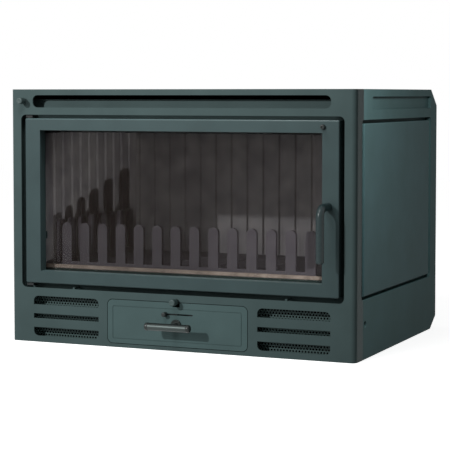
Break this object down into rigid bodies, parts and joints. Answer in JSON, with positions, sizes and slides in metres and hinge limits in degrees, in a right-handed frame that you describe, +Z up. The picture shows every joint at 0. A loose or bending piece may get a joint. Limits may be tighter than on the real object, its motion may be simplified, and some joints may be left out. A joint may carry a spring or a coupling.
{
  "type": "fireplace insert",
  "caption": "Wide wood-burning fireplace insert: sheet-steel air casing round a lined firebox with a glazed side-hung door, ash drawer, flue socket, damper and shaker grate.",
  "frame": {"origin": "on the floor under the middle of the casing", "axes": "+Z up, the front with the door faces -Y, +X to the right seen from the front"},
  "size_m": [0.7, 0.5554, 0.485],
  "materials": {
    "casing_paint": "fine-textured matte grey-black stove paint",
    "side_panel_paint": "fine-textured matte grey-black stove paint",
    "screen_steel": "matte grey-black paint on perforated sheet",
    "firebox_steel": "matte heat-resisting black paint on welded plate",
    "fluted_lining": "raw cast surface, dulled by ash",
    "hearth_iron": "raw cast surface, dulled by ash",
    "hinge_steel": "plain turned steel",
    "door_paint": "fine-textured matte grey-black stove paint",
    "seal_rope": "braided glass-fibre rope and tape",
    "ceramic_glass": "clear heat-resisting ceramic glass",
    "handle_steel": "dark blued steel rod",
    "drawer_paint": "fine-textured matte grey-black stove paint",
    "bar_steel": "satin steel",
    "knob_black": "satin black"
  },
  "bodies": {
    "root": {"front_surround": "casing_paint", "side_casing_left": "casing_paint", "side_casing_right": "casing_paint", "side_backing_left": "casing_paint", "side_backing_right": "casing_paint", "side_panel_left": "side_panel_paint", "side_panel_right": "side_panel_paint", "perforated_screen_left": "screen_steel", "perforated_screen_right": "screen_steel", "top_plate": "casing_paint", "outlet_cover_left": "casing_paint", "outlet_cover_right": "casing_paint", "rear_panel": "casing_paint", "base_plate": "casing_paint", "firebox_front_plate": "firebox_steel", "firebox_side_left": "firebox_steel", "firebox_side_right": "firebox_steel", "firebox_back": "firebox_steel", "firebox_floor": "firebox_steel", "firebox_roof": "firebox_steel", "flue_socket": "firebox_steel", "side_lining_left": "fluted_lining", "side_lining_right": "fluted_lining", "back_lining": "fluted_lining", "smoke_baffle": "firebox_steel", "hearth_plate": "hearth_iron", "front_sill": "firebox_steel", "fixed_grate": "hearth_iron", "log_guard": "hearth_iron", "side_guard_left": "hearth_iron", "side_guard_right": "hearth_iron", "ash_bay": "firebox_steel", "shaker_guide": "firebox_steel", "latch_keeper": "firebox_steel", "hinge_bracket_lower": "hinge_steel", "hinge_bracket_upper": "hinge_steel", "hinge_washers": "hinge_steel"},
    "door": {"door_frame": "door_paint", "door_seal": "seal_rope", "glass_gasket": "seal_rope", "door_glass": "ceramic_glass", "glass_clips": "door_paint", "clip_screws": "hinge_steel"},
    "door_handle": {"handle_rod": "handle_steel", "latch_tongue": "hinge_steel", "latch_nut": "hinge_steel"},
    "ash_drawer": {"drawer_front": "drawer_paint", "ash_tray": "firebox_steel", "bar_handle": "bar_steel", "bar_caps": "knob_black", "bar_post": "bar_steel"},
    "air_slider": {"air_knob": "knob_black", "air_shutter": "firebox_steel"},
    "flue_damper": {"damper_knob": "knob_black", "damper_rod": "hinge_steel", "damper_arm": "firebox_steel", "damper_gate": "firebox_steel"},
    "grate_shaker": {"shaker_knob": "knob_black", "shaker_rod": "hinge_steel", "shaker_grate": "hearth_iron"}
  },
  "joints": [
    {"name": "door_hinge", "type": "hinge", "parent": "root", "child": "door", "pos_m": [-0.3117, -0.2425, 0.27175], "axis": [0, 0, -1], "range_deg": [0, 95]},
    {"name": "door_handle_turn", "type": "hinge", "parent": "door", "child": "door_handle", "pos_m": [0.298, -0.2525, 0.2765], "axis": [0, 1, 0], "range_deg": [0, 90]},
    {"name": "ash_drawer_slide", "type": "slide", "parent": "root", "child": "ash_drawer", "axis": [0, -1, 0], "range_m": [0, 0.3]},
    {"name": "air_slider_slide", "type": "slide", "parent": "ash_drawer", "child": "air_slider", "axis": [1, 0, 0], "range_m": [0, 0.05]},
    {"name": "flue_damper_slide", "type": "slide", "parent": "root", "child": "flue_damper", "axis": [0, -1, 0], "range_m": [0, 0.13]},
    {"name": "grate_shaker_slide", "type": "slide", "parent": "root", "child": "grate_shaker", "axis": [0, -1, 0], "range_m": [0, 0.022]}
  ]
}
